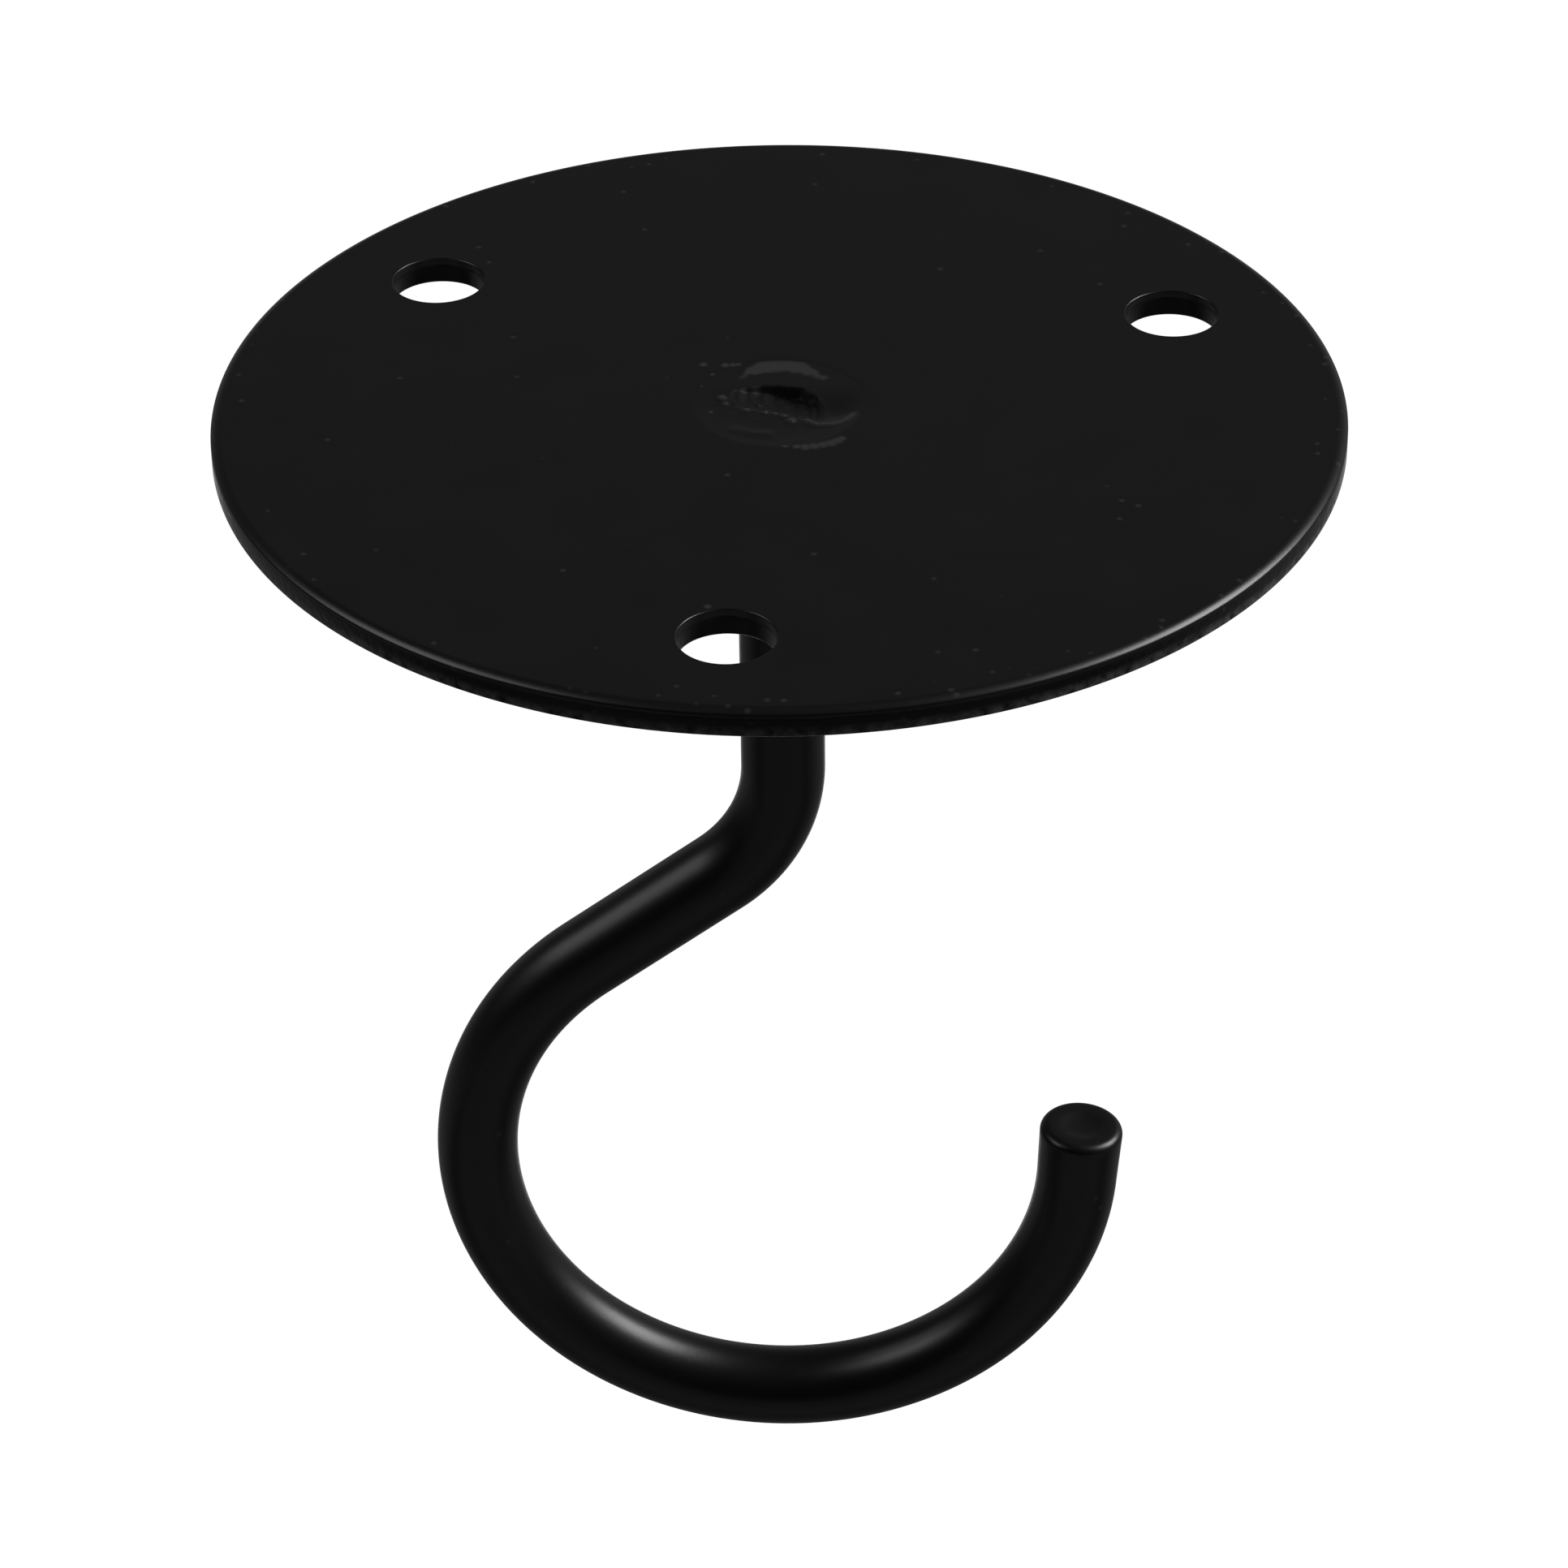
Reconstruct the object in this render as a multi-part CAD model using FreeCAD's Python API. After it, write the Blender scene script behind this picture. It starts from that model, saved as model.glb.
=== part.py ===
import FreeCAD, Part
import math
import os

# A black coated steel ceiling hook: a stamped round plate with three screw holes, and a round
# bar bent to an open S that hangs from the plate's centre. The bar's upper end stands in a hole
# in the plate and is welded from the ceiling side. The weld lies in a countersink, so that
# nothing stands proud of the face that goes against the ceiling.
#
# Frame: the origin is the centre of the plate's ceiling face, +Z points up into the ceiling,
# the bar lies in the XZ plane and its mouth opens towards +X. Millimetres and degrees.

# Ceiling plate, a stamped disc.
plate_diameter = 80.0
plate_thickness = 2.0
ceiling_edge_bevel = 0.3       # rim and screw holes, where the stamping die rolls them over
room_edge_bevel = 0.15         # rim and screw holes, broken after stamping

# Screw holes, evenly spaced on a circle.
screw_hole_diameter = 6.7
screw_hole_inset = 9.0         # plate's rim to the hole's centre
screw_hole_count = 3
first_hole_angle = 146.0       # from +X, towards +Y

# Round bar.
bar_diameter = 6.2
tip_edge_radius = 0.7          # rounding of the free end
tip_land_width = 0.7           # flat ring between that rounding and the dish
tip_dish_depth = 0.2           # shallow hollow that cropping leaves in the free end

# Bends of the bar, on its centreline.
stem_length = 30.6             # ceiling face to the first bend
neck_bend_radius = 12.5
neck_bend_angle = 52.0
eye_radius = 23.2
eye_sweep = 240.0
eye_setback = 0.8              # eye's centre behind the stem's axis, away from the mouth

# Countersunk hole at the plate's centre, and the bar's end in it.
bar_hole_clearance = 0.05      # on the radius
countersink_depth = 1.1
countersink_width = 2.75       # from the bar's hole out to the countersink's rim
bar_engagement = 0.6           # room face up to the bar's end, inside the plate

# Weld that fills the countersink over the bar's end, with an oblong crater in its crown.
weld_toe_depth = 0.25          # ceiling face down to the weld's outer edge
weld_crown_clearance = 0.08    # ceiling face down to the weld's crown
weld_shoulder_width = 0.7      # from the weld's outer edge in to its level crown
weld_throat = 0.35             # metal left between the crater and the bar's end
crater_end_margin = 0.3        # level crown left at the crater's ends
crater_back_margin = 0.8       # level crown left behind the crater
crater_floor_margin = 0.25     # from the wall of the bar's hole in to the crater's floor
crater_shift = 0.8             # from the bar's axis back to the crater's centre
crater_turn = -22.0            # the crater's long axis from +X, towards +Y

# Worked out from the sizes above.
plate_radius = plate_diameter / 2
screw_circle_radius = plate_radius - screw_hole_inset
bar_radius = bar_diameter / 2
bar_hole_radius = bar_radius + bar_hole_clearance
countersink_radius = bar_hole_radius + countersink_width
screw_hole_radius = screw_hole_diameter / 2
bar_end_height = bar_engagement - plate_thickness

UP = FreeCAD.Vector(0, 0, 1)
OUTWARDS = 1
INWARDS = -1


def in_bend_plane(x, z):
    """A point of the plane that the bar is bent in."""
    return FreeCAD.Vector(x, 0, z)


def on_bend(centre, radius, degrees):
    """The point of a bend at an angle from +X towards +Z about its centre."""
    angle = math.radians(degrees)
    return centre + in_bend_plane(radius * math.cos(angle), radius * math.sin(angle))


def bend(centre, radius, start, sweep):
    """A circular edge of the bar's centreline, from a start angle through a signed sweep."""
    return Part.Arc(
        on_bend(centre, radius, start),
        on_bend(centre, radius, start + sweep / 2),
        on_bend(centre, radius, start + sweep),
    ).toShape()


def turned(corners, centre):
    """A solid turned about the vertical line through a point, from corners as (radius, height)."""
    points = [centre + in_bend_plane(radius, height) for radius, height in corners]
    outline = Part.makePolygon(points + points[:1])
    return Part.Face(outline).revolve(centre, UP, 360)


def through_plate(radius, direction):
    """Corners of a round outline through the plate, its bevels turned outwards or inwards."""
    return [
        (0, 0),
        (radius + direction * ceiling_edge_bevel, 0),
        (radius, -ceiling_edge_bevel),
        (radius, room_edge_bevel - plate_thickness),
        (radius + direction * room_edge_bevel, -plate_thickness),
        (0, -plate_thickness),
    ]


def screw_hole_centres():
    """Centres of the screw holes on the ceiling face."""
    centres = []
    for number in range(screw_hole_count):
        angle = math.radians(first_hole_angle + number * 360 / screw_hole_count)
        x = screw_circle_radius * math.cos(angle)
        y = screw_circle_radius * math.sin(angle)
        centres.append(FreeCAD.Vector(x, y, 0))
    return centres


def ceiling_plate():
    """The stamped disc, with its bevelled rim and screw holes and the bar's countersunk hole."""
    disc = turned(through_plate(plate_radius, INWARDS), FreeCAD.Vector())
    for centre in screw_hole_centres():
        disc = disc.cut(turned(through_plate(screw_hole_radius, OUTWARDS), centre))
    bar_hole = turned([
        (0, 0),
        (countersink_radius, 0),
        (bar_hole_radius, -countersink_depth),
        (bar_hole_radius, -plate_thickness),
        (0, -plate_thickness),
    ], FreeCAD.Vector())
    return disc.cut(bar_hole)


def bar_centreline():
    """Edges of the bar's centreline, from the weld down the stem and round to the free end.

    The slanted run between the two bends is as long as it takes to bring the eye back
    underneath the stem, to within the eye's setback.
    """
    turn = math.radians(neck_bend_angle)
    stem_end = in_bend_plane(0, -stem_length)
    neck_centre = stem_end - in_bend_plane(neck_bend_radius, 0)
    neck_end = on_bend(neck_centre, neck_bend_radius, -neck_bend_angle)
    downhill = in_bend_plane(-math.sin(turn), -math.cos(turn))
    towards_eye = in_bend_plane(math.cos(turn), -math.sin(turn))
    slant_length = (neck_end.x + eye_radius * towards_eye.x + eye_setback) / -downhill.x
    slant_end = neck_end + downhill * slant_length
    eye_centre = slant_end + towards_eye * eye_radius
    return [
        Part.makeLine(in_bend_plane(0, bar_end_height), stem_end),
        bend(neck_centre, neck_bend_radius, 0, -neck_bend_angle),
        Part.makeLine(neck_end, slant_end),
        bend(eye_centre, eye_radius, 180 - neck_bend_angle, eye_sweep),
    ]


def hook_bar():
    """The bent bar, with a rounded and slightly hollow free end."""
    centreline = bar_centreline()
    upper_end = in_bend_plane(0, bar_end_height)
    section = Part.Face(Part.Wire(Part.makeCircle(bar_radius, upper_end, UP)))
    bar = Part.Wire(centreline).makePipe(section)
    eye = centreline[-1]
    tip = eye.valueAt(eye.LastParameter)
    outwards = eye.tangentAt(eye.LastParameter)
    tip_rim = [
        edge for edge in bar.Edges
        if edge.CenterOfMass.distanceToPoint(tip) < bar_radius / 2
    ]
    bar = bar.makeFillet(tip_edge_radius, tip_rim)
    dish_radius = bar_radius - tip_edge_radius - tip_land_width
    ball_radius = (dish_radius ** 2 + tip_dish_depth ** 2) / (2 * tip_dish_depth)
    ball_centre = tip + outwards * (ball_radius - tip_dish_depth)
    return bar.cut(Part.makeSphere(ball_radius, ball_centre))


def level_ellipse(half_length, half_width, height):
    """An ellipse set back by the crater's shift, at a height."""
    centre = FreeCAD.Vector(0, crater_shift, height)
    return Part.Wire(Part.Ellipse(centre, half_length, half_width).toShape())


def weld_crater(crown_radius, crown_height):
    """An oblong hollow with sloping walls and a level floor, its long axis turned in plan."""
    floor_radius = bar_hole_radius - crater_floor_margin
    floor_height = bar_end_height + weld_throat
    mouth = level_ellipse(
        crown_radius - crater_end_margin,
        crown_radius - crater_back_margin - crater_shift,
        crown_height,
    )
    floor = level_ellipse(floor_radius, floor_radius - crater_shift, floor_height)
    crater = Part.makeLoft([mouth, floor], True, True)
    crater.rotate(FreeCAD.Vector(), UP, crater_turn)
    return crater


def weld_bead():
    """The weld: it fills the hole over the bar's end and the countersink up to its own edge."""
    toe_radius = countersink_radius - countersink_width * weld_toe_depth / countersink_depth
    crown_radius = toe_radius - weld_shoulder_width
    crown_height = -weld_crown_clearance
    bead = turned([
        (0, bar_end_height),
        (bar_hole_radius, bar_end_height),
        (bar_hole_radius, -countersink_depth),
        (toe_radius, -weld_toe_depth),
        (crown_radius, crown_height),
        (0, crown_height),
    ], FreeCAD.Vector())
    return bead.cut(weld_crater(crown_radius, crown_height))


PIECES = {
    "ceiling_plate": ceiling_plate,
    "hook_bar": hook_bar,
    "weld_bead": weld_bead,
}

os.makedirs("parts", exist_ok=True)
for name, make in PIECES.items():
    make().exportStep(os.path.join("parts", name + ".step"))
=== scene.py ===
import math

import bpy
from mathutils import Matrix, Vector, noise


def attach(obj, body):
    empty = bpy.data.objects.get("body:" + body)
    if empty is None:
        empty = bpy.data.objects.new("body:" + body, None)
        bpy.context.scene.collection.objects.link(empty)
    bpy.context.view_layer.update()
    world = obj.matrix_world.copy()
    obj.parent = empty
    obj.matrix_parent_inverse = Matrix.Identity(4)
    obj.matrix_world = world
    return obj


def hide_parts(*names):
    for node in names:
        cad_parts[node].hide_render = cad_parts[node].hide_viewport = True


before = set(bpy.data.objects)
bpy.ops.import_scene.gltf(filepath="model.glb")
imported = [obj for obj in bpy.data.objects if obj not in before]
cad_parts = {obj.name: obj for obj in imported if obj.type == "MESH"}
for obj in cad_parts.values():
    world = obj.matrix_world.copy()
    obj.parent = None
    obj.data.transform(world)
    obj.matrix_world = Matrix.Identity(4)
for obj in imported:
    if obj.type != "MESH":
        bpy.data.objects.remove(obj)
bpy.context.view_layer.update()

MM = 0.001


# The camera: a long lens that looks down at the ceiling face of the plate, from a little to the
# right of square and about a third of a right angle up.
LENS_MM = 125.61
CAMERA_PLACE = Vector((0.015908, -0.334989, 0.192247))
CAMERA_AZIMUTH = math.radians(2.711)
CAMERA_ELEVATION = math.radians(33.816)
CAMERA_ROLL = math.radians(-0.657)

camera_data = bpy.data.cameras.new("camera")
camera_data.lens = LENS_MM
camera_data.sensor_width = 36.0
camera_data.clip_start = 0.01
camera = bpy.data.objects.new("camera", camera_data)
bpy.context.scene.collection.objects.link(camera)
camera.matrix_world = (
    Matrix.Translation(CAMERA_PLACE)
    @ Matrix.Rotation(CAMERA_AZIMUTH, 4, "Z")
    @ Matrix.Rotation(math.pi / 2 - CAMERA_ELEVATION, 4, "X")
    @ Matrix.Rotation(CAMERA_ROLL, 4, "Z")
)
bpy.context.scene.camera = camera
bpy.context.scene.view_settings.view_transform = "Standard"


# The studio: a dim room, paler behind the hook, over a pale floor far below. Two large soft lamps
# stand high up on either side, and a wide dim card low at the front. Room and floor are white to
# the camera, and the coating mirrors a white pool on the floor behind the hook and grey beyond it.
ROOM_FRONT = 0.006
ROOM_BACK = 0.06
ROOM_LOW_BACK = 0.25
BACK_FADE = (0.45, 0.85)
LOW_FADE = (0.35, 0.05)
FLOOR_DEPTH = 6.0
FLOOR_SIZE = 50.0
FLOOR_COLOUR = (0.8, 0.8, 0.8, 1.0)
FLOOR_ROUGHNESS = 0.7
WHITE_MIDDLE = (-0.44, 9.53, 0.0)
WHITE_INNER = 3.78
WHITE_OUTER = 4.66
GREY = 0.14
GREY_MIDDLE = (0.0, -8.0, 0.0)
GREY_INNER = 9.3
GREY_OUTER = 13.0
LAMP_DISTANCE = 2.0
LAMPS = [  # name, direction, width and height, watts
    ("lamp_right", Vector((0.79, 0.16, 0.59)), (1.15, 1.15), 57.0),
    ("lamp_left", Vector((-0.76, -0.10, 0.64)), (1.25, 1.25), 15.5),
    ("card_front", Vector((0.04, -0.76, -0.64)), (4.0, 1.6), 2.8),
]

# The room: dim in front, paler towards the back, palest low down there.
world = bpy.data.worlds.new("room")
world.use_nodes = True
nodes = world.node_tree.nodes
links = world.node_tree.links
way = nodes.new("ShaderNodeTexCoord")
axes = nodes.new("ShaderNodeSeparateXYZ")
links.new(way.outputs["Generated"], axes.inputs["Vector"])
back = nodes.new("ShaderNodeMapRange")
back.inputs["From Min"].default_value = BACK_FADE[0]
back.inputs["From Max"].default_value = BACK_FADE[1]
links.new(axes.outputs["Y"], back.inputs["Value"])
low = nodes.new("ShaderNodeMapRange")
low.inputs["From Min"].default_value = LOW_FADE[0]
low.inputs["From Max"].default_value = LOW_FADE[1]
low.inputs["To Min"].default_value = ROOM_BACK
low.inputs["To Max"].default_value = ROOM_LOW_BACK
links.new(axes.outputs["Z"], low.inputs["Value"])
wall = nodes.new("ShaderNodeMapRange")
wall.inputs["To Min"].default_value = ROOM_FRONT
links.new(back.outputs["Result"], wall.inputs["Value"])
links.new(low.outputs["Result"], wall.inputs["To Max"])
path = nodes.new("ShaderNodeLightPath")
white = nodes.new("ShaderNodeMath")
white.operation = "MAXIMUM"
links.new(wall.outputs["Result"], white.inputs[0])
links.new(path.outputs["Is Camera Ray"], white.inputs[1])
room_light = nodes["Background"]
room_light.inputs["Color"].default_value = (1.0, 1.0, 1.0, 1.0)
links.new(white.outputs["Value"], room_light.inputs["Strength"])
bpy.context.scene.world = world

# The floor, whose white pool and grey only show in reflections.
bpy.ops.object.select_all(action="DESELECT")
bpy.ops.mesh.primitive_plane_add(size=FLOOR_SIZE, location=(0, 0, -FLOOR_DEPTH))
floor = bpy.context.object
floor.name = "floor"
floor_paint = bpy.data.materials.new("floor_paint")
floor_paint.use_nodes = True
nodes = floor_paint.node_tree.nodes
links = floor_paint.node_tree.links
paint = nodes["Principled BSDF"]
paint.inputs["Base Color"].default_value = FLOOR_COLOUR
paint.inputs["Roughness"].default_value = FLOOR_ROUGHNESS
paint.inputs["Emission Color"].default_value = (1.0, 1.0, 1.0, 1.0)
place = nodes.new("ShaderNodeTexCoord")
reach = nodes.new("ShaderNodeVectorMath")
reach.operation = "DISTANCE"
reach.inputs[1].default_value = WHITE_MIDDLE
links.new(place.outputs["Object"], reach.inputs[0])
pool = nodes.new("ShaderNodeMapRange")
pool.interpolation_type = "SMOOTHSTEP"
pool.inputs["From Min"].default_value = WHITE_OUTER
pool.inputs["From Max"].default_value = WHITE_INNER
links.new(reach.outputs["Value"], pool.inputs["Value"])
far_off = nodes.new("ShaderNodeVectorMath")
far_off.operation = "DISTANCE"
far_off.inputs[1].default_value = GREY_MIDDLE
links.new(place.outputs["Object"], far_off.inputs[0])
grey = nodes.new("ShaderNodeMapRange")
grey.inputs["From Min"].default_value = GREY_INNER
grey.inputs["From Max"].default_value = GREY_OUTER
grey.inputs["To Max"].default_value = GREY
links.new(far_off.outputs["Value"], grey.inputs["Value"])
shown = nodes.new("ShaderNodeMath")
shown.operation = "MAXIMUM"
links.new(pool.outputs["Result"], shown.inputs[0])
links.new(grey.outputs["Result"], shown.inputs[1])
path = nodes.new("ShaderNodeLightPath")
mirrored = nodes.new("ShaderNodeMath")
mirrored.operation = "MAXIMUM"
links.new(path.outputs["Is Glossy Ray"], mirrored.inputs[0])
links.new(path.outputs["Is Transmission Ray"], mirrored.inputs[1])
glow = nodes.new("ShaderNodeMath")
glow.operation = "MULTIPLY_ADD"
links.new(shown.outputs["Value"], glow.inputs[0])
links.new(mirrored.outputs["Value"], glow.inputs[1])
links.new(path.outputs["Is Camera Ray"], glow.inputs[2])
links.new(glow.outputs["Value"], paint.inputs["Emission Strength"])
floor.data.materials.append(floor_paint)

for name, towards, (width, height), watts in LAMPS:
    lamp_data = bpy.data.lights.new(name, "AREA")
    lamp_data.shape = "RECTANGLE"
    lamp_data.size = width
    lamp_data.size_y = height
    lamp_data.energy = watts
    lamp = bpy.data.objects.new(name, lamp_data)
    bpy.context.scene.collection.objects.link(lamp)
    lamp.matrix_world = (
        Matrix.Translation(towards.normalized() * LAMP_DISTANCE)
        @ towards.to_track_quat("Z", "Y").to_matrix().to_4x4()
    )
    lamp.visible_camera = False


# The ceiling plate: a stamped steel disc with a satin black coating. Its rim and its three screw
# holes are rolled over on the ceiling side and broken on the room side, and the metal tore in the
# lower part of their walls. A countersink round the bar's hole takes the weld.
PLATE_RADIUS = 39.985 * MM
PLATE_THICKNESS = 2.0 * MM
RIM_ROLL = (1.0 * MM, 0.3 * MM)  # radii of the wide arc and of the tight one that ends it
HOLE_ROLL = (0.15 * MM, 0.08 * MM)
ROLL_TURN = 42  # degrees where the wide arc gives way to the tight one
ROLL_DEGREES = [0, 6, 12, 18, 24, 30, 36, 42, 50, 58, 66, 74, 82, 90]
ROOM_EDGE_RADIUS = 0.15 * MM
ROOM_EDGE_DEGREES = [0, 30, 60, 90]
SCREW_HOLE_RADIUS = 3.35 * MM
SCREW_CIRCLE_RADIUS = 31.0 * MM
SCREW_HOLE_ANGLES = [math.radians(degrees) for degrees in (146, 266, 26)]
BAR_HOLE_RADIUS = 3.15 * MM
SINK_RADIUS = 5.9 * MM
SINK_DEPTH = 1.1 * MM
SINK_OUTER = 7.8 * MM
SINK_SLOPE = 0.4
SINK_ROLL = 0.12 * MM
SINK_LEVEL = 7.0 * MM  # beyond this radius the face round the countersink is level
SINK_RINGS = [  # radii in millimetres, close together where the countersink starts
    7.4 - 0.09 * step for step in range(24)] + [5.15, 4.9, 4.6, 4.2, 3.7]
# The spots along the near right of the countersink are a painted highlight; the others are
# spattered weld metal.
SPATTER_AND_HIGHLIGHT = [  # place and radius, in millimetres, of each pale spot
    (-5.6, 5.25, 0.4), (-4.05, 5.2, 0.44), (-3.5, 5.25, 0.36), (-3.1, 5.3, 0.32),
    (-4.9, 3.85, 0.25), (0.7, -6.05, 0.34), (1.5, -6.15, 0.42), (2.1, -6.2, 0.56),
    (2.7, -6.05, 0.58), (3.3, -5.85, 0.58), (3.85, -5.6, 0.62), (4.3, -5.25, 0.58),
    (4.6, -4.95, 0.42), (-3.6, -27.3, 0.34)]
ROUND_STEPS = 256
HOLE_STEPS = 96
CLOSE = 0.001 * MM  # how close a point has to be to a height, and below to a ring, to be picked
NEAR = 0.01 * MM


def edit(piece):
    """Go into edit mode on one piece, with nothing on it selected."""
    bpy.ops.object.select_all(action="DESELECT")
    bpy.context.view_layer.objects.active = piece
    piece.select_set(True)
    bpy.ops.object.mode_set(mode="EDIT")
    bpy.ops.mesh.select_mode(type="VERT")
    bpy.ops.mesh.select_all(action="DESELECT")


def pick_edges(piece, wanted):
    """Select, in edit mode, the edges whose two ends the test takes."""
    bpy.ops.mesh.select_mode(type="EDGE")
    bpy.ops.mesh.select_all(action="DESELECT")
    bpy.ops.object.mode_set(mode="OBJECT")
    points = [vertex.co for vertex in piece.data.vertices]
    for edge in piece.data.edges:
        edge.select = all(wanted(points[number]) for number in edge.vertices)
    bpy.ops.object.mode_set(mode="EDIT")


def pick_faces(piece, wanted):
    """Select, in edit mode, the faces that the test takes."""
    bpy.ops.mesh.select_mode(type="FACE")
    bpy.ops.mesh.select_all(action="DESELECT")
    bpy.ops.object.mode_set(mode="OBJECT")
    for face in piece.data.polygons:
        face.select = wanted(face)
    bpy.ops.object.mode_set(mode="EDIT")


def draw_rings(rings, middle=(0.0, 0.0)):
    """Extrude the selected ring about an upright axis through more pairs of radius and height."""
    for (last_radius, last_height), (radius, height) in zip(rings, rings[1:]):
        scale = radius / last_radius
        bpy.ops.mesh.extrude_region_move()
        bpy.ops.transform.resize(
            value=(scale, scale, 1), center_override=(middle[0], middle[1], last_height))
        bpy.ops.transform.translate(value=(0, 0, height - last_height))


def rolled_edge(radius, roll, way):
    """Rings of an edge from the ceiling face round to the room face, out or in from a radius.

    The die draws the face down along a wide arc, which a tight one ends.
    """
    wide, tight = roll
    rings = []
    turn = math.radians(ROLL_TURN)
    for degrees in ROLL_DEGREES:
        gentle = math.radians(min(degrees, ROLL_TURN))
        steep = math.radians(max(degrees, ROLL_TURN))
        short_of = wide * (math.sin(turn) - math.sin(gentle)) + tight * (1 - math.sin(steep))
        down = wide * (1 - math.cos(gentle)) + tight * (math.cos(turn) - math.cos(steep))
        rings.append((radius - way * short_of, -down))
    for degrees in ROOM_EDGE_DEGREES:
        turned = math.radians(degrees)
        rings.append((radius - way * ROOM_EDGE_RADIUS * (1 - math.cos(turned)),
                      ROOM_EDGE_RADIUS * (1 - math.sin(turned)) - PLATE_THICKNESS))
    return rings


def plate_top(radius):
    """Height of the ceiling face at a radius, where it rolls down into the countersink."""
    return -SINK_SLOPE * SINK_ROLL * math.log1p(math.exp((SINK_RADIUS - radius) / SINK_ROLL))


screw_holes = [
    (SCREW_CIRCLE_RADIUS * math.cos(angle), SCREW_CIRCLE_RADIUS * math.sin(angle))
    for angle in SCREW_HOLE_ANGLES
]
rim = rolled_edge(PLATE_RADIUS, RIM_ROLL, 1)
hole_edge = rolled_edge(SCREW_HOLE_RADIUS, HOLE_ROLL, -1)
sink = [(SINK_OUTER, 0.0)]
sink += [(radius * MM, 0.0) for radius in SINK_RINGS]
sink += [(BAR_HOLE_RADIUS, -SINK_DEPTH), (BAR_HOLE_RADIUS, -PLATE_THICKNESS)]

# The level part of the ceiling face is filled between its outlines, and then each outline is
# drawn on, ring by ring, round its edge or down its hole.
bpy.ops.object.select_all(action="DESELECT")
bpy.ops.mesh.primitive_circle_add(vertices=ROUND_STEPS, radius=rim[0][0], fill_type="NOTHING")
plate = bpy.context.object
plate.name = "plate"
edit(plate)
bpy.ops.mesh.primitive_circle_add(vertices=ROUND_STEPS, radius=SINK_OUTER, fill_type="NOTHING")
for x, y in screw_holes:
    bpy.ops.mesh.primitive_circle_add(
        vertices=HOLE_STEPS, radius=hole_edge[0][0], fill_type="NOTHING", location=(x, y, 0))
bpy.ops.mesh.select_all(action="SELECT")
bpy.ops.mesh.fill()
edges = [(rim, (0.0, 0.0)), (sink, (0.0, 0.0))] + [(hole_edge, hole) for hole in screw_holes]
for rings, (x, y) in edges:
    pick_edges(plate, lambda point: abs(point.z) < CLOSE
               and abs(math.hypot(point.x - x, point.y - y) - rings[0][0]) < NEAR)
    draw_rings(rings, (x, y))
pick_edges(plate, lambda point: abs(point.z + PLATE_THICKNESS) < CLOSE)
bpy.ops.mesh.fill()
bpy.ops.mesh.select_all(action="SELECT")
bpy.ops.mesh.normals_make_consistent(inside=False)
bpy.ops.object.mode_set(mode="OBJECT")
for vertex in plate.data.vertices:
    radius = math.hypot(vertex.co.x, vertex.co.y)
    if vertex.co.z > -NEAR and radius < SINK_LEVEL:
        vertex.co.z = plate_top(radius)


def is_level(face):
    """Whether all corners of a face of the plate lie on its ceiling face or its room face."""
    heights = [plate.data.vertices[number].co.z for number in face.vertices]
    return (all(abs(height) < CLOSE for height in heights)
            or all(abs(height + PLATE_THICKNESS) < CLOSE for height in heights))


edit(plate)
pick_faces(plate, is_level)
bpy.ops.mesh.mod_weighted_strength(set=True, face_strength="STRONG")
bpy.ops.object.mode_set(mode="OBJECT")
bpy.ops.object.shade_smooth()
weighted = plate.modifiers.new("even_shading", "WEIGHTED_NORMAL")
weighted.use_face_influence = True
bpy.ops.object.modifier_apply(modifier=weighted.name)
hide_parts("ceiling_plate")
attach(plate, "root")


# The coating, which every piece shares: black, with a fine orange-peel texture, a slight drift in
# its tone and sheen, a few pale flecks of dust and overspray, and a paler tone for spattered weld
# metal and painted highlights.
GLOSS = 0.38
FLECK_RELIEF = 0.1
TONE_DRIFT = (0.93, 1.07)
FLECK_CELLS = 900.0
FLECK_SIZE = (0.26, 0.1)
DRIFT_SCALE = 160.0

coating = bpy.data.node_groups.new("sprayed_coating", "ShaderNodeTree")
for name, kind, value in (
        ("Tone", "NodeSocketColor", (0.004, 0.004, 0.0041, 1.0)),
        ("Fleck Tone", "NodeSocketColor", (0.016, 0.016, 0.016, 1.0)),
        ("Sheen", "NodeSocketFloat", 0.36),
        ("Sheen Drift", "NodeSocketFloat", 0.04),
        ("Peel Size", "NodeSocketFloat", 2600.0),
        ("Peel", "NodeSocketFloat", 0.5),
        ("Pale Tone", "NodeSocketColor", (0.022, 0.022, 0.022, 1.0)),
        ("Pale", "NodeSocketFloat", 0.0),
        ("Flecks", "NodeSocketFloat", 0.03)):
    socket = coating.interface.new_socket(name, in_out="INPUT", socket_type=kind)
    socket.default_value = value
coating.interface.new_socket("Colour", in_out="OUTPUT", socket_type="NodeSocketColor")
coating.interface.new_socket("Roughness", in_out="OUTPUT", socket_type="NodeSocketFloat")
coating.interface.new_socket("Height", in_out="OUTPUT", socket_type="NodeSocketFloat")
nodes = coating.nodes
links = coating.links
given = nodes.new("NodeGroupInput")
result = nodes.new("NodeGroupOutput")
place = nodes.new("ShaderNodeTexCoord")

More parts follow.
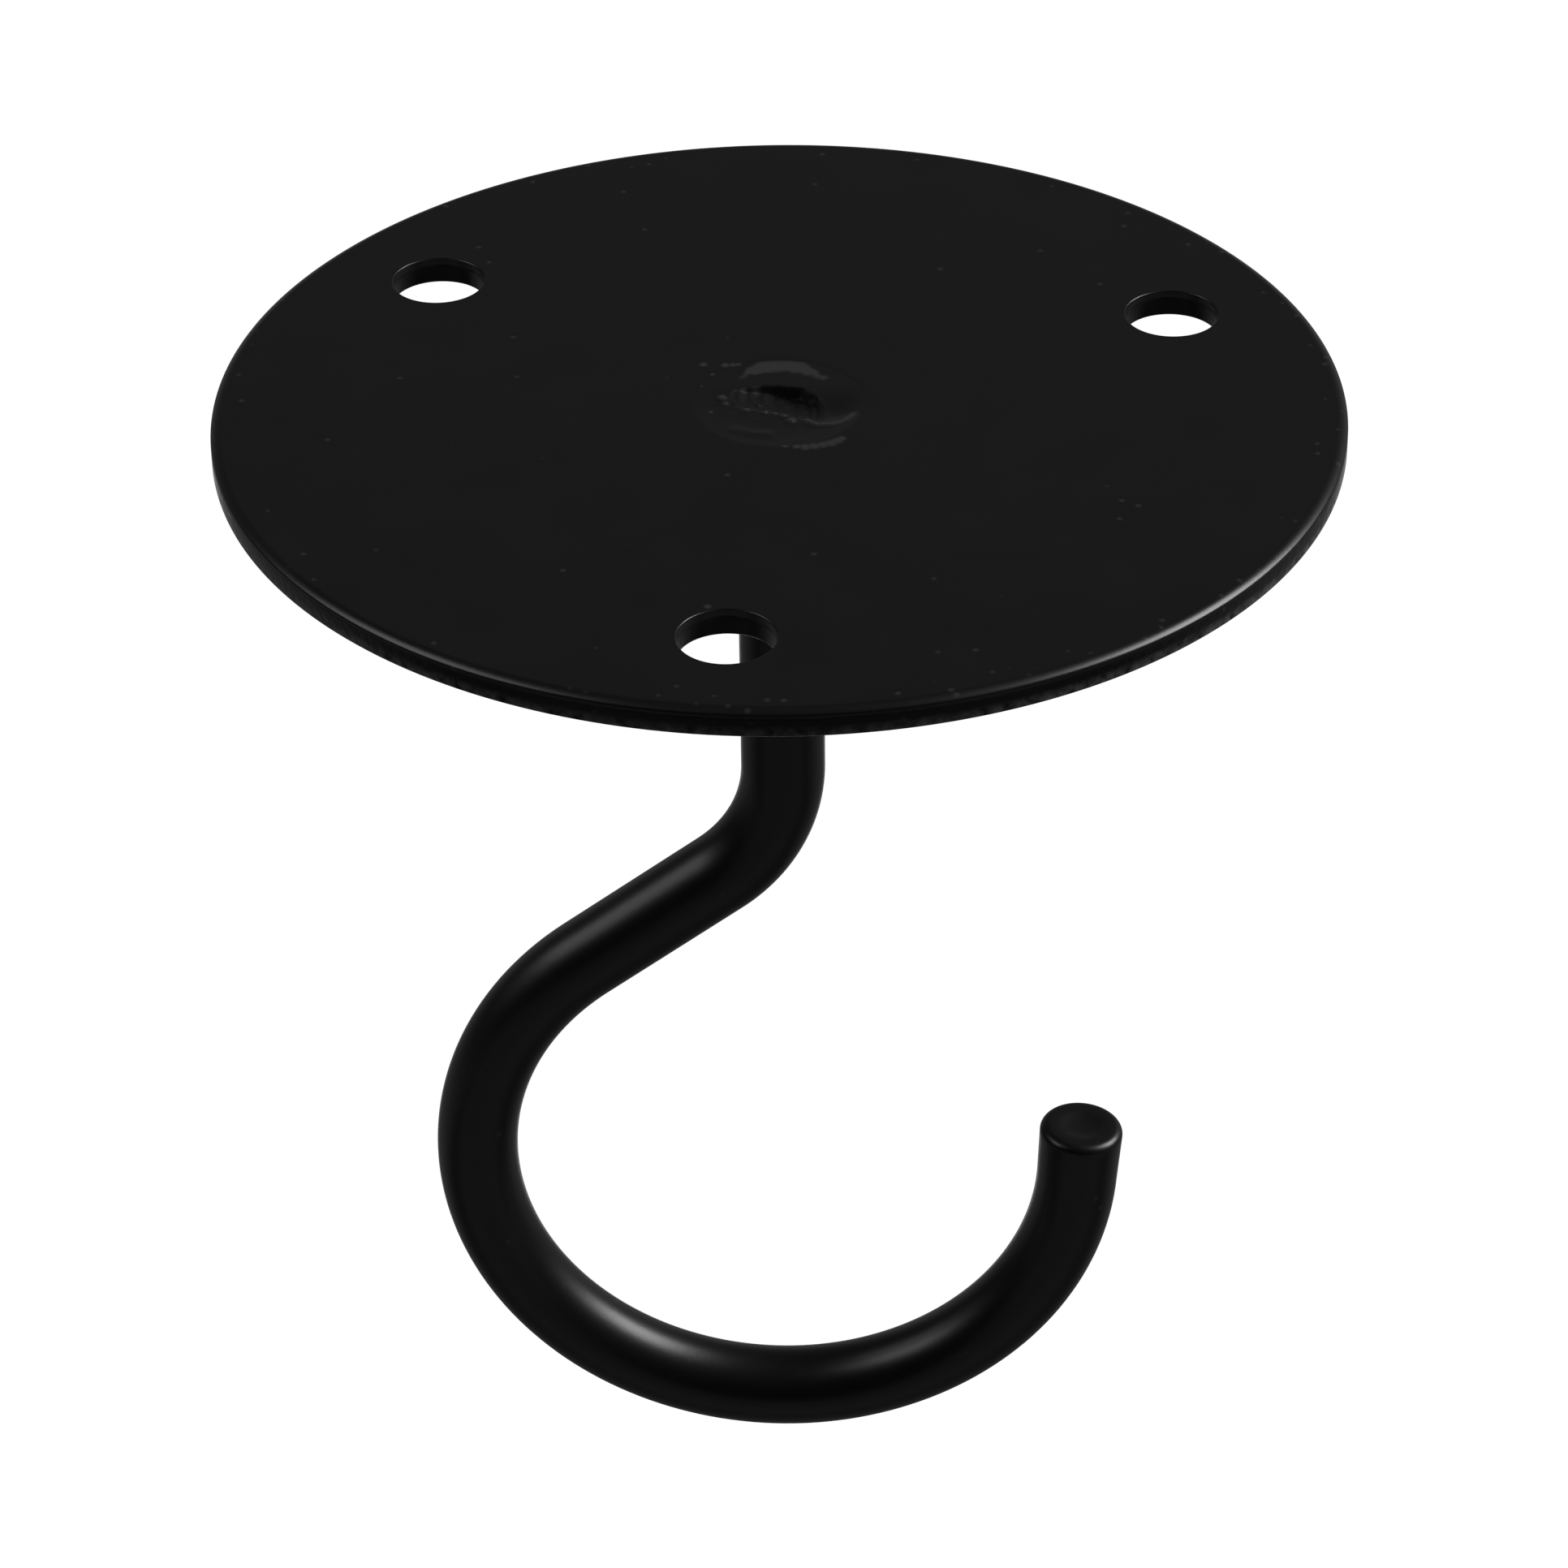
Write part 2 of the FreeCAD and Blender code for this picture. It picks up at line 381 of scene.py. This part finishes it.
drift = nodes.new("ShaderNodeTexNoise")
drift.inputs["Scale"].default_value = DRIFT_SCALE
drift.inputs["Detail"].default_value = 3.0
links.new(place.outputs["Object"], drift.inputs["Vector"])
tone_drift = nodes.new("ShaderNodeMapRange")
tone_drift.inputs["From Min"].default_value = 0.3
tone_drift.inputs["From Max"].default_value = 0.7
tone_drift.inputs["To Min"].default_value = TONE_DRIFT[0]
tone_drift.inputs["To Max"].default_value = TONE_DRIFT[1]
links.new(drift.outputs["Fac"], tone_drift.inputs["Value"])
toned = nodes.new("ShaderNodeVectorMath")
toned.operation = "SCALE"
links.new(given.outputs["Tone"], toned.inputs[0])
links.new(tone_drift.outputs["Result"], toned.inputs["Scale"])

cells = nodes.new("ShaderNodeTexVoronoi")
cells.inputs["Scale"].default_value = FLECK_CELLS
turned = nodes.new("ShaderNodeMapping")
turned.inputs["Rotation"].default_value = (0.4, 0.3, 0.2)
links.new(place.outputs["Object"], turned.inputs["Vector"])
links.new(turned.outputs["Vector"], cells.inputs["Vector"])
chance = nodes.new("ShaderNodeSeparateColor")
links.new(cells.outputs["Color"], chance.inputs["Color"])
chosen = nodes.new("ShaderNodeMath")
chosen.operation = "LESS_THAN"
links.new(chance.outputs["Red"], chosen.inputs[0])
links.new(given.outputs["Flecks"], chosen.inputs[1])
dot = nodes.new("ShaderNodeMapRange")
dot.interpolation_type = "SMOOTHSTEP"
dot.inputs["From Min"].default_value = FLECK_SIZE[0]
dot.inputs["From Max"].default_value = FLECK_SIZE[1]
links.new(cells.outputs["Distance"], dot.inputs["Value"])
fleck = nodes.new("ShaderNodeMath")
fleck.operation = "MULTIPLY"
links.new(chosen.outputs["Value"], fleck.inputs[0])
links.new(dot.outputs["Result"], fleck.inputs[1])
flecked = nodes.new("ShaderNodeMix")
flecked.data_type = "RGBA"
links.new(fleck.outputs["Value"], flecked.inputs["Factor"])
pale_and_highlight = nodes.new("ShaderNodeMix")
pale_and_highlight.data_type = "RGBA"
links.new(given.outputs["Pale"], pale_and_highlight.inputs["Factor"])
links.new(toned.outputs["Vector"], pale_and_highlight.inputs["A"])
links.new(given.outputs["Pale Tone"], pale_and_highlight.inputs["B"])
links.new(pale_and_highlight.outputs["Result"], flecked.inputs["A"])
links.new(given.outputs["Fleck Tone"], flecked.inputs["B"])
links.new(flecked.outputs["Result"], result.inputs["Colour"])

sheen_drift = nodes.new("ShaderNodeMath")
sheen_drift.operation = "SUBTRACT"
sheen_drift.inputs[1].default_value = 0.5
links.new(drift.outputs["Fac"], sheen_drift.inputs[0])
sheen = nodes.new("ShaderNodeMath")
sheen.operation = "MULTIPLY_ADD"
links.new(sheen_drift.outputs["Value"], sheen.inputs[0])
links.new(given.outputs["Sheen Drift"], sheen.inputs[1])
links.new(given.outputs["Sheen"], sheen.inputs[2])
links.new(sheen.outputs["Value"], result.inputs["Roughness"])

peel = nodes.new("ShaderNodeTexNoise")
peel.inputs["Detail"].default_value = 2.0
links.new(place.outputs["Object"], peel.inputs["Vector"])
links.new(given.outputs["Peel Size"], peel.inputs["Scale"])
peel_height = nodes.new("ShaderNodeMath")
peel_height.operation = "MULTIPLY"
links.new(peel.outputs["Fac"], peel_height.inputs[0])
links.new(given.outputs["Peel"], peel_height.inputs[1])
height = nodes.new("ShaderNodeMath")
height.operation = "MULTIPLY_ADD"
height.inputs[1].default_value = FLECK_RELIEF
links.new(fleck.outputs["Value"], height.inputs[0])
links.new(peel_height.outputs["Value"], height.inputs[2])
links.new(height.outputs["Value"], result.inputs["Height"])


def coated(name, relief, **values):
    """A satin black material from the coating, with its relief in metres."""
    material = bpy.data.materials.new(name)
    material.use_nodes = True
    nodes = material.node_tree.nodes
    links = material.node_tree.links
    shader = nodes["Principled BSDF"]
    shader.inputs["Specular IOR Level"].default_value = GLOSS
    spray = nodes.new("ShaderNodeGroup")
    spray.name = "spray"
    spray.node_tree = coating
    for socket, value in values.items():
        spray.inputs[socket.replace("_", " ")].default_value = value
    bump = nodes.new("ShaderNodeBump")
    bump.name = "bump"
    bump.inputs["Distance"].default_value = relief
    links.new(spray.outputs["Colour"], shader.inputs["Base Color"])
    links.new(spray.outputs["Roughness"], shader.inputs["Roughness"])
    links.new(spray.outputs["Height"], bump.inputs["Height"])
    links.new(bump.outputs["Normal"], shader.inputs["Normal"])
    return material


# The plate's coating is smoother than that of the bar and the weld.
plate_black = coated(
    "satin_black_plate", relief=0.012 * MM, Peel_Size=1500.0, Peel=0.15, Sheen=0.33)
nodes = plate_black.node_tree.nodes
links = plate_black.node_tree.links
spray = nodes["spray"]
bump = nodes["bump"]
shader = nodes["Principled BSDF"]
place = nodes.new("ShaderNodeTexCoord")
axes = nodes.new("ShaderNodeSeparateXYZ")
links.new(place.outputs["Object"], axes.inputs["Vector"])
flat = nodes.new("ShaderNodeCombineXYZ")
links.new(axes.outputs["X"], flat.inputs["X"])
links.new(axes.outputs["Y"], flat.inputs["Y"])
out_to = nodes.new("ShaderNodeVectorMath")
out_to.operation = "LENGTH"
links.new(flat.outputs["Vector"], out_to.inputs[0])

# There are more flecks towards the rim.
FLECK_RADII = (37.0 * MM, 39.4 * MM)
FLECK_CHANCES = (0.03, 0.4)
near_rim = nodes.new("ShaderNodeMapRange")
near_rim.inputs["From Min"].default_value = FLECK_RADII[0]
near_rim.inputs["From Max"].default_value = FLECK_RADII[1]
near_rim.inputs["To Min"].default_value = FLECK_CHANCES[0]
near_rim.inputs["To Max"].default_value = FLECK_CHANCES[1]
links.new(out_to.outputs["Value"], near_rim.inputs["Value"])
links.new(near_rim.outputs["Result"], spray.inputs["Flecks"])

# The walls of the rim and the holes, below their roll, are rough and mirror less.
BELOW_ROLL = (-0.5 * MM, -0.7 * MM)
ABOVE_EDGE = (0.05 * MM, 0.15 * MM)
TORN_SHINE = 0.35
TORN_RELIEF = 5.0
TORN_SCALE = 1500.0
below_roll = nodes.new("ShaderNodeMapRange")
below_roll.inputs["From Min"].default_value = BELOW_ROLL[0]
below_roll.inputs["From Max"].default_value = BELOW_ROLL[1]
links.new(axes.outputs["Z"], below_roll.inputs["Value"])
above_edge = nodes.new("ShaderNodeMapRange")
above_edge.inputs["From Min"].default_value = ABOVE_EDGE[0] - PLATE_THICKNESS
above_edge.inputs["From Max"].default_value = ABOVE_EDGE[1] - PLATE_THICKNESS
links.new(axes.outputs["Z"], above_edge.inputs["Value"])
side = nodes.new("ShaderNodeMath")
side.operation = "MULTIPLY"
links.new(below_roll.outputs["Result"], side.inputs[0])
links.new(above_edge.outputs["Result"], side.inputs[1])
side_shine = nodes.new("ShaderNodeMapRange")
side_shine.inputs["To Min"].default_value = 1.0
side_shine.inputs["To Max"].default_value = TORN_SHINE
links.new(side.outputs["Value"], side_shine.inputs["Value"])
links.new(side_shine.outputs["Result"], shader.inputs["Specular Tint"])
torn = nodes.new("ShaderNodeTexNoise")
torn.inputs["Scale"].default_value = TORN_SCALE
torn.inputs["Detail"].default_value = 4.0
links.new(place.outputs["Object"], torn.inputs["Vector"])
torn_side = nodes.new("ShaderNodeMath")
torn_side.operation = "MULTIPLY"
links.new(side.outputs["Value"], torn_side.inputs[0])
links.new(torn.outputs["Fac"], torn_side.inputs[1])
relief = nodes.new("ShaderNodeMath")
relief.operation = "MULTIPLY_ADD"
relief.inputs[1].default_value = TORN_RELIEF
links.new(torn_side.outputs["Value"], relief.inputs[0])
links.new(spray.outputs["Height"], relief.inputs[2])
links.new(relief.outputs["Value"], bump.inputs["Height"])

# Low on the rim's side, grey spots of torn metal are painted, growing towards the lower edge as a
# painted reflection.
TORN_AND_REFLECTION_TONE = (0.1, 0.1, 0.1, 1.0)
PAINTED_REFLECTION_HEIGHTS = (-1.1 * MM, -1.95 * MM)
TORN_SPOTS = (0.3, 0.65)
RIM_SIDE = 39.75 * MM
painted_reflection_zone = nodes.new("ShaderNodeMapRange")
painted_reflection_zone.inputs["From Min"].default_value = PAINTED_REFLECTION_HEIGHTS[0]
painted_reflection_zone.inputs["From Max"].default_value = PAINTED_REFLECTION_HEIGHTS[1]
links.new(axes.outputs["Z"], painted_reflection_zone.inputs["Value"])
torn_spots = nodes.new("ShaderNodeMapRange")
torn_spots.inputs["From Min"].default_value = TORN_SPOTS[0]
torn_spots.inputs["From Max"].default_value = TORN_SPOTS[1]
links.new(torn.outputs["Fac"], torn_spots.inputs["Value"])
at_rim = nodes.new("ShaderNodeMath")
at_rim.operation = "GREATER_THAN"
at_rim.inputs[1].default_value = RIM_SIDE
links.new(out_to.outputs["Value"], at_rim.inputs[0])
rim_zone = nodes.new("ShaderNodeMath")
rim_zone.operation = "MULTIPLY"
links.new(painted_reflection_zone.outputs["Result"], rim_zone.inputs[0])
links.new(at_rim.outputs["Value"], rim_zone.inputs[1])
torn_and_reflection_spots = nodes.new("ShaderNodeMath")
torn_and_reflection_spots.operation = "MULTIPLY"
links.new(rim_zone.outputs["Value"], torn_and_reflection_spots.inputs[0])
links.new(torn_spots.outputs["Result"], torn_and_reflection_spots.inputs[1])
edge_tone = nodes.new("ShaderNodeMix")
edge_tone.data_type = "RGBA"
edge_tone.inputs["B"].default_value = TORN_AND_REFLECTION_TONE
links.new(torn_and_reflection_spots.outputs["Value"], edge_tone.inputs["Factor"])
links.new(spray.outputs["Colour"], edge_tone.inputs["A"])
links.new(edge_tone.outputs["Result"], shader.inputs["Base Color"])

# The pale spots are spattered weld metal, and along the near right of the countersink a painted
# highlight.
SPOT_CORE = 0.3
spots = []
for x, y, spot_radius in SPATTER_AND_HIGHLIGHT:
    gap = nodes.new("ShaderNodeVectorMath")
    gap.operation = "DISTANCE"
    gap.inputs[1].default_value = (x * MM, y * MM, 0.0)
    links.new(place.outputs["Object"], gap.inputs[0])
    spot = nodes.new("ShaderNodeMapRange")
    spot.interpolation_type = "SMOOTHSTEP"
    spot.inputs["From Min"].default_value = spot_radius * MM
    spot.inputs["From Max"].default_value = SPOT_CORE * spot_radius * MM
    links.new(gap.outputs["Value"], spot.inputs["Value"])
    spots.append(spot.outputs["Result"])
spatter_and_highlight = spots[0]
for spot in spots[1:]:
    either = nodes.new("ShaderNodeMath")
    either.operation = "MAXIMUM"
    links.new(spatter_and_highlight, either.inputs[0])
    links.new(spot, either.inputs[1])
    spatter_and_highlight = either.outputs["Value"]
links.new(spatter_and_highlight, spray.inputs["Pale"])
plate.data.materials.append(plate_black)


# The hook bar: a 6 mm steel bar with the same coating, bent cold over two formers. Its upper end
# stands in the plate's hole under the weld. Its last few millimetres stayed straight. The free end
# was cropped, which spread it a little, then tumbled round, and is slightly hollow.
BAR_RADIUS = 3.098 * MM
BAR_TOP = -1.4 * MM
STEM_END = -30.6 * MM
NECK_RADIUS = 12.5 * MM
NECK_ANGLE = math.radians(52)
NECK_CENTRE = Vector((-NECK_RADIUS, 0, STEM_END))
EYE_CENTRE = Vector((-0.8 * MM, 0, -66.76 * MM))
EYE_RADIUS = 23.2 * MM
EYE_ANGLE = math.radians(228.6)
EYE_END = math.radians(-3.4)
END_RUN = 4.7 * MM
END_FLARE = 1.009  # how much the bar widens at each step of its straight end
TIP_EDGE_RADIUS = 0.7 * MM
TIP_MIDDLE = 0.1 * MM
TIP_DISH = [  # millimetres in and down at each step
    (0.7, 0.0), (0.35, 0.075), (0.35, 0.055), (0.35, 0.04), (0.3, 0.02), (0.2, 0.01)]
STEM_RINGS = [BAR_TOP, -2.0 * MM, -8.0 * MM, -14.0 * MM, -20.0 * MM, -26.0 * MM, STEM_END]
BAR_SIDES = 72
NECK_STEPS = 26
SLANT_STEPS = 3
EYE_STEPS = 120
END_STEPS = 4
TIP_EDGE_STEPS = 7
BAR_CREASE = math.radians(50)

# One ring is drawn down the stem, round the neck, along the slant, round the eye and up the end.
bpy.ops.object.select_all(action="DESELECT")
bpy.ops.mesh.primitive_circle_add(
    vertices=BAR_SIDES, radius=BAR_RADIUS, fill_type="NOTHING", location=(0, 0, BAR_TOP))
bar = bpy.context.object
bar.name = "bar"
bpy.ops.object.transform_apply(location=True)
edit(bar)
bpy.ops.mesh.select_all(action="SELECT")
for above, below in zip(STEM_RINGS, STEM_RINGS[1:]):
    bpy.ops.mesh.extrude_region_move()
    bpy.ops.transform.translate(value=(0, 0, below - above))
bpy.ops.mesh.spin(steps=NECK_STEPS, angle=-NECK_ANGLE, center=NECK_CENTRE, axis=(0, 1, 0))
downhill = Vector((math.cos(NECK_ANGLE), 0, -math.sin(NECK_ANGLE)))
slant = (EYE_CENTRE - EYE_RADIUS * downhill) - (NECK_CENTRE + NECK_RADIUS * downhill)
for step in range(SLANT_STEPS):
    bpy.ops.mesh.extrude_region_move()
    bpy.ops.transform.translate(value=slant / SLANT_STEPS)
bpy.ops.mesh.spin(steps=EYE_STEPS, angle=EYE_ANGLE, center=EYE_CENTRE, axis=(0, 1, 0))
tip = EYE_CENTRE + EYE_RADIUS * Vector((math.cos(EYE_END), 0, math.sin(EYE_END)))
tip_way = Vector((-math.sin(EYE_END), 0, math.cos(EYE_END)))
for step in range(END_STEPS):
    tip = tip + tip_way * END_RUN / END_STEPS
    bpy.ops.mesh.extrude_region_move()
    bpy.ops.transform.translate(value=tip_way * END_RUN / END_STEPS)
    bpy.ops.transform.resize(value=(END_FLARE, END_FLARE, END_FLARE), center_override=tip)
bpy.ops.mesh.edge_face_add()
pick_edges(bar, lambda point: abs((point - tip).dot(tip_way)) < NEAR
           and (point - tip).length < 1.1 * BAR_RADIUS)
bpy.ops.mesh.bevel(
    offset=TIP_EDGE_RADIUS, segments=TIP_EDGE_STEPS, affect="EDGES", clamp_overlap=False)
pick_faces(bar, lambda face: (face.center - tip).length < TIP_MIDDLE)
for step_in, step_down in TIP_DISH:
    bpy.ops.mesh.inset(thickness=step_in * MM, depth=-step_down * MM)
bpy.ops.mesh.poke()
pick_edges(bar, lambda point: point.z > BAR_TOP - NEAR)
bpy.ops.mesh.edge_face_add()
bpy.ops.mesh.select_all(action="SELECT")
bpy.ops.mesh.normals_make_consistent(inside=False)
bpy.ops.object.mode_set(mode="OBJECT")
bpy.ops.object.shade_smooth_by_angle(angle=BAR_CREASE)
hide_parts("hook_bar")
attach(bar, "root")
bar_black = coated("satin_black_bar", relief=0.012 * MM, Tone=(0.0035, 0.0035, 0.0036, 1.0))
bar.data.materials.append(bar_black)


# The weld: steel melted over the bar's end from the ceiling side, and coated with the rest. The
# arc was broken off at the back, which left a deep crater behind a rough, spattered front lip.
# It lies a little below the ceiling face everywhere. Its sizes are in millimetres.
TOE_RADIUS = 6.1
CRATER_WALL = [  # along X, and how far back the top of the back wall is
    (-3.6, 1.5), (-3.0, 2.0), (-2.2, 2.2), (-1.2, 2.5), (-0.4, 2.5), (1.3, 2.3), (2.4, 1.5),
    (2.9, 0.5), (3.3, -0.3)]
WALL_WIDTH = 0.3
CRATER_DEPTHS = [  # along X, and the depth below the crown
    (-3.6, 0.0), (-3.0, 0.1), (-2.2, 0.38), (-1.3, 0.6), (-0.2, 0.88), (0.9, 1.0), (2.0, 0.8),
    (2.6, 0.45), (3.0, 0.1), (3.3, 0.0)]
SHORTEST_FLOOR = 0.5
FLOOR_CURVE = 1.5
LIP = [  # along X, and where the crater's front lip is
    (-4.4, 1.0), (-3.6, 0.1), (-2.2, -0.75), (-1.0, -1.15), (0.4, -1.5), (1.4, -2.0), (3.4, -2.4)]
LUMPS = [  # place, height and spread
    (-4.05, 0.6, 0.17, 0.26), (-3.78, -0.15, 0.11, 0.22), (-2.25, -0.95, 0.1, 0.22),
    (-1.48, 0.08, 0.16, 0.22), (-0.95, -1.25, 0.12, 0.22), (-0.25, -1.4, 0.12, 0.21),
    (0.4, -1.7, 0.12, 0.22), (0.93, -2.4, 0.18, 0.27), (1.36, -1.45, 0.1, 0.2),
    (2.08, -2.35, 0.13, 0.23), (3.0, 3.6, 0.02, 0.28)]
FAR_EDGE = [  # degrees from +X towards +Y, and the outer limit of the painted highlight at the back
    (44, 4.4), (50, 4.8), (64, 5.5), (76, 6.1), (106, 6.1), (114, 5.7), (128, 4.8), (134, 4.4)]
FAR_EDGE_INNER = 4.25
FAR_EDGE_FADE = 0.4
FAR_EDGE_WAVER = 0.25
RIDGE_HIGHLIGHT = 0.8
RIPPLES = [  # points along a ridge, its height and spread
    ([(2.08, -2.45), (2.77, -2.9), (3.7, -2.8), (4.25, -2.65), (4.9, -2.1), (5.3, -1.5)],
     0.15, 0.25),
    ([(-2.9, -3.9), (-1.9, -4.3), (-0.7, -4.4)], 0.07, 0.55)]
HOLLOW = (4.2, -1.1, 0.24, 1.6)  # place, depth and spread
CROWN = -0.14
BACK_CROWN = -0.04
BACK_START = -0.5
BACK_REACH = 3.0
SHOULDER = 3.0
HIGHEST = -0.012
GRAIN = 0.004
LIP_GRAIN = 0.02
LIP_REACH = 1.6
CRATER_GRAIN = 0.06
BURN_REACH = 0.3
BURN_DEPTH = 0.03
BURNT_TONE = (0.004, 0.004, 0.0041, 1.0)
BURNT_ROUGHNESS = 0.6
BURNT_SHINE = 0.25
WELD_RINGS = 84
WELD_CREASE = math.radians(60)


def eased(share):
    """A share from 0 to 1, made to start and end gently."""
    return share * share * (3 - 2 * share)


def between(table, value):
    """A value read off a table of pairs, smoothly between its entries."""
    for (low, at_low), (high, at_high) in zip(table, table[1:]):
        if value <= high:
            share = (value - low) / (high - low)
            return at_low + (at_high - at_low) * eased(share)
    return table[-1][1]


def off_line(x, y, points):
    """Distance of a place from a line through points."""
    place = Vector((x, y))
    gaps = []
    for start, end in zip(points, points[1:]):
        start = Vector(start)
        run = Vector(end) - start
        share = max(0.0, min(1.0, (place - start).dot(run) / run.length_squared))
        gaps.append((place - start - run * share).length)
    return min(gaps)


def bump_at(x, y, bump):
    """Height of a round bump at a place."""
    bump_x, bump_y, rise, spread = bump
    return rise * math.exp(-((x - bump_x) ** 2 + (y - bump_y) ** 2) / spread ** 2)


def crater_at(x, y):
    """Depth of the crater at a place: a steep back wall, and a floor that rises to the lip."""
    wall = between(CRATER_WALL, x)
    down = max(0.0, min(1.0, (wall - y) / WALL_WIDTH))
    along = max(0.0, (wall - y) / max(SHORTEST_FLOOR, wall - between(LIP, x)))
    if along >= 1 or x < CRATER_WALL[0][0]:
        return 0.0
    return between(CRATER_DEPTHS, x) * eased(down) * (1 - along ** FLOOR_CURVE)


def weld_top(x, y):
    """Height of the weld's surface at a place."""
    radius = math.hypot(x, y)
    toe = plate_top(TOE_RADIUS * MM) / MM
    back = eased(max(0.0, min(1.0, (y - BACK_START) / BACK_REACH)))
    crown = CROWN + (BACK_CROWN - CROWN) * back - bump_at(x, y, HOLLOW)
    rise = math.sin(max(0.0, min(1.0, (TOE_RADIUS - radius) / SHOULDER)) * math.pi / 2)
    height = toe + (crown - toe) * rise
    height += rise * sum(
        ridge * math.exp(-(off_line(x, y, points) / spread) ** 2)
        for points, ridge, spread in RIPPLES)
    height += sum(bump_at(x, y, lump) for lump in LUMPS)
    rough = noise.fractal(Vector((x * 2.0, y * 2.0, 9.0)), 1.0, 2.0, 4)
    at_lip = max(0.0, 1 - abs(y - between(LIP, x)) / LIP_REACH)
    height += rough * (GRAIN + LIP_GRAIN * at_lip) * rise
    height -= crater_at(x, y) * (1 + CRATER_GRAIN * rough)
    return min(height, HIGHEST)


def painted_highlight(x, y):
    """How much painted highlight the weld gets at a place, from 0 to 1: at the back, on the front
    ridge and on the lumps.
    """
    radius = math.hypot(x, y)
    angle = math.degrees(math.atan2(y, x))
    far_edge = 0.0
    if FAR_EDGE[0][0] < angle < FAR_EDGE[-1][0]:
        uneven = radius + FAR_EDGE_WAVER * noise.noise(Vector((x * 1.5, y * 1.5, 4.0)))
        inside = (uneven - FAR_EDGE_INNER) / FAR_EDGE_FADE
        outside = (between(FAR_EDGE, angle) - radius) / FAR_EDGE_FADE
        far_edge = max(0.0, min(1.0, inside, outside))
    points, ridge, spread = RIPPLES[0]
    on_ridge = RIDGE_HIGHLIGHT * math.exp(-(off_line(x, y, points) / spread) ** 2)
    lumps = [bump_at(x, y, lump) / lump[2] for lump in LUMPS]
    return max([far_edge, on_ridge] + lumps)


def burnt_at(x, y):
    """How burnt and dull the weld is at a place, in the crater and just behind it, from 0 to 1."""
    return min(1.0, max(crater_at(x, y), crater_at(x, y - BURN_REACH)) / BURN_DEPTH)


# A disc of close rings takes the weld's shape, and its edge is drawn down the countersink and in
# to the end of the bar.
bpy.ops.object.select_all(action="DESELECT")
bpy.ops.mesh.primitive_circle_add(
    vertices=ROUND_STEPS, radius=TOE_RADIUS * MM, fill_type="NOTHING")
weld = bpy.context.object
weld.name = "weld"
edit(weld)
bpy.ops.mesh.select_all(action="SELECT")
draw_rings([(TOE_RADIUS * (1 - step / WELD_RINGS) * MM, 0.0) for step in range(WELD_RINGS)])
bpy.ops.mesh.edge_face_add()
bpy.ops.mesh.poke()
bpy.ops.object.mode_set(mode="OBJECT")
for vertex in weld.data.vertices:
    vertex.co.z = weld_top(vertex.co.x / MM, vertex.co.y / MM) * MM
highlight_layer = weld.data.attributes.new("painted_highlight", "FLOAT", "POINT")
burn = weld.data.attributes.new("burnt", "FLOAT", "POINT")
for vertex in weld.data.vertices:
    x = vertex.co.x / MM
    y = vertex.co.y / MM
    highlight_layer.data[vertex.index].value = painted_highlight(x, y)
    burn.data[vertex.index].value = burnt_at(x, y)
edit(weld)
bpy.ops.mesh.select_mode(type="EDGE")
bpy.ops.mesh.select_non_manifold(extend=False)
bpy.ops.mesh.extrude_region_move()
bpy.ops.object.mode_set(mode="OBJECT")
for vertex in weld.data.vertices:
    if vertex.select:
        radius = math.hypot(vertex.co.x, vertex.co.y)
        vertex.co.x *= BAR_HOLE_RADIUS / radius
        vertex.co.y *= BAR_HOLE_RADIUS / radius
        vertex.co.z = -SINK_DEPTH
bpy.ops.object.mode_set(mode="EDIT")
bpy.ops.mesh.extrude_region_move()
bpy.ops.transform.translate(value=(0, 0, BAR_TOP + SINK_DEPTH))
bpy.ops.mesh.edge_face_add()
bpy.ops.mesh.select_all(action="SELECT")
bpy.ops.mesh.normals_make_consistent(inside=False)
bpy.ops.object.mode_set(mode="OBJECT")
bpy.ops.object.shade_smooth_by_angle(angle=WELD_CREASE)
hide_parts("weld_bead")
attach(weld, "root")
weld_black = coated("satin_black_weld", relief=0.015 * MM, Peel=0.6, Flecks=0.1)
nodes = weld_black.node_tree.nodes
links = weld_black.node_tree.links
spray = nodes["spray"]
shader = nodes["Principled BSDF"]
# The weld's pale tone is a painted highlight: a crescent at the back, the front ridge and the
# lumps.
highlight_attribute = nodes.new("ShaderNodeAttribute")
highlight_attribute.attribute_name = "painted_highlight"
links.new(highlight_attribute.outputs["Fac"], spray.inputs["Pale"])
burnt = nodes.new("ShaderNodeAttribute")
burnt.attribute_name = "burnt"
scorched = nodes.new("ShaderNodeMix")
scorched.data_type = "RGBA"
scorched.inputs["B"].default_value = BURNT_TONE
links.new(burnt.outputs["Fac"], scorched.inputs["Factor"])
links.new(spray.outputs["Colour"], scorched.inputs["A"])
links.new(scorched.outputs["Result"], shader.inputs["Base Color"])
dull = nodes.new("ShaderNodeMapRange")
dull.inputs["To Max"].default_value = BURNT_ROUGHNESS
links.new(burnt.outputs["Fac"], dull.inputs["Value"])
links.new(spray.outputs["Roughness"], dull.inputs["To Min"])
links.new(dull.outputs["Result"], shader.inputs["Roughness"])
burnt_shine = nodes.new("ShaderNodeMapRange")
burnt_shine.inputs["To Min"].default_value = 1.0
burnt_shine.inputs["To Max"].default_value = BURNT_SHINE
links.new(burnt.outputs["Fac"], burnt_shine.inputs["Value"])
links.new(burnt_shine.outputs["Result"], shader.inputs["Specular Tint"])
weld.data.materials.append(weld_black)
